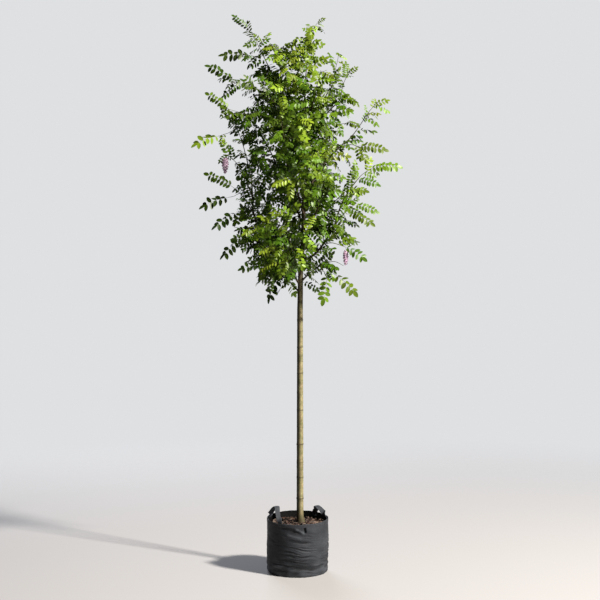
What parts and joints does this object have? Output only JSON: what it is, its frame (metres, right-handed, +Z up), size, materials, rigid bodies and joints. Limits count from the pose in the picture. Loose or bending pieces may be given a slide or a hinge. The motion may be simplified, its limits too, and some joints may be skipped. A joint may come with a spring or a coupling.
{
  "type": "potted wisteria",
  "caption": "Young wisteria trained as a standard tree, with a straight clear stem and an open leafy crown with small mauve racemes, in a round black fabric growing bag with strap handles.",
  "frame": {"origin": "the middle of the bag's flat underside, where it stands on the ground", "axes": "+Z up along the stem, -Y towards the viewer of the front, +X to that viewer's right"},
  "size_m": [1.357, 0.9971, 3.6045],
  "materials": {
    "bag_fabric": "woven polypropylene cloth and webbing, black, dusty and faded on the sunny side",
    "potting_soil": "loose peat-and-bark potting compost, matte",
    "bark_mulch": "dry chipped conifer bark, matte, rough",
    "trunk_bark": "smooth pale green-tan young bark with darker ring scars and lenticels",
    "branch_bark": "thin brown-green twig bark, matte",
    "leaf_green": "thin satin leaf, deep green, yellow-green where young",
    "petal_lilac": "soft matte petals, lilac to mauve"
  },
  "bodies": {
    "root": {"bag_base": "bag_fabric", "bag_handle_left": "bag_fabric", "bag_handle_right": "bag_fabric", "bag_wall": "bag_fabric", "bark_mulch": "bark_mulch", "branch_back_high": "branch_bark", "branch_back_low": "branch_bark", "branch_back_middle": "branch_bark", "branch_front_high": "branch_bark", "branch_front_low": "branch_bark", "branch_front_middle": "branch_bark", "branch_front_right": "branch_bark", "branch_left_long": "branch_bark", "branch_left_low": "branch_bark", "branch_left_lowest": "branch_bark", "branch_left_middle": "branch_bark", "branch_left_top": "branch_bark", "branch_left_upper": "branch_bark", "branch_right_long": "branch_bark", "branch_right_low": "branch_bark", "branch_right_middle": "branch_bark", "branch_right_peak": "branch_bark", "branch_right_top": "branch_bark", "branch_right_upper": "branch_bark", "flower_raceme_left": "petal_lilac", "flower_raceme_right": "petal_lilac", "leafy_shoot_back_high": "leaf_green", "leafy_shoot_back_high_a": "leaf_green", "leafy_shoot_back_low": "leaf_green", "leafy_shoot_back_middle": "leaf_green", "leafy_shoot_back_middle_a": "leaf_green", "leafy_shoot_front_high": "leaf_green", "leafy_shoot_front_low": "leaf_green", "leafy_shoot_front_middle": "leaf_green", "leafy_shoot_front_right": "leaf_green", "leafy_shoot_leader": "leaf_green", "leafy_shoot_left_long": "leaf_green", "leafy_shoot_left_long_a": "leaf_green", "leafy_shoot_left_long_b": "leaf_green", "leafy_shoot_left_low": "leaf_green", "leafy_shoot_left_low_a": "leaf_green", "leafy_shoot_left_lowest": "leaf_green", "leafy_shoot_left_middle": "leaf_green", "leafy_shoot_left_top": "leaf_green", "leafy_shoot_left_top_a": "leaf_green", "leafy_shoot_left_upper": "leaf_green", "leafy_shoot_left_upper_a": "leaf_green", "leafy_shoot_right_long": "leaf_green", "leafy_shoot_right_long_a": "leaf_green", "leafy_shoot_right_long_b": "leaf_green", "leafy_shoot_right_low": "leaf_green", "leafy_shoot_right_middle": "leaf_green", "leafy_shoot_right_peak": "leaf_green", "leafy_shoot_right_top": "leaf_green", "leafy_shoot_right_top_a": "leaf_green", "leafy_shoot_right_upper": "leaf_green", "leafy_shoot_right_upper_a": "leaf_green", "potting_soil": "potting_soil", "trunk": "trunk_bark"}
  },
  "joints": []
}
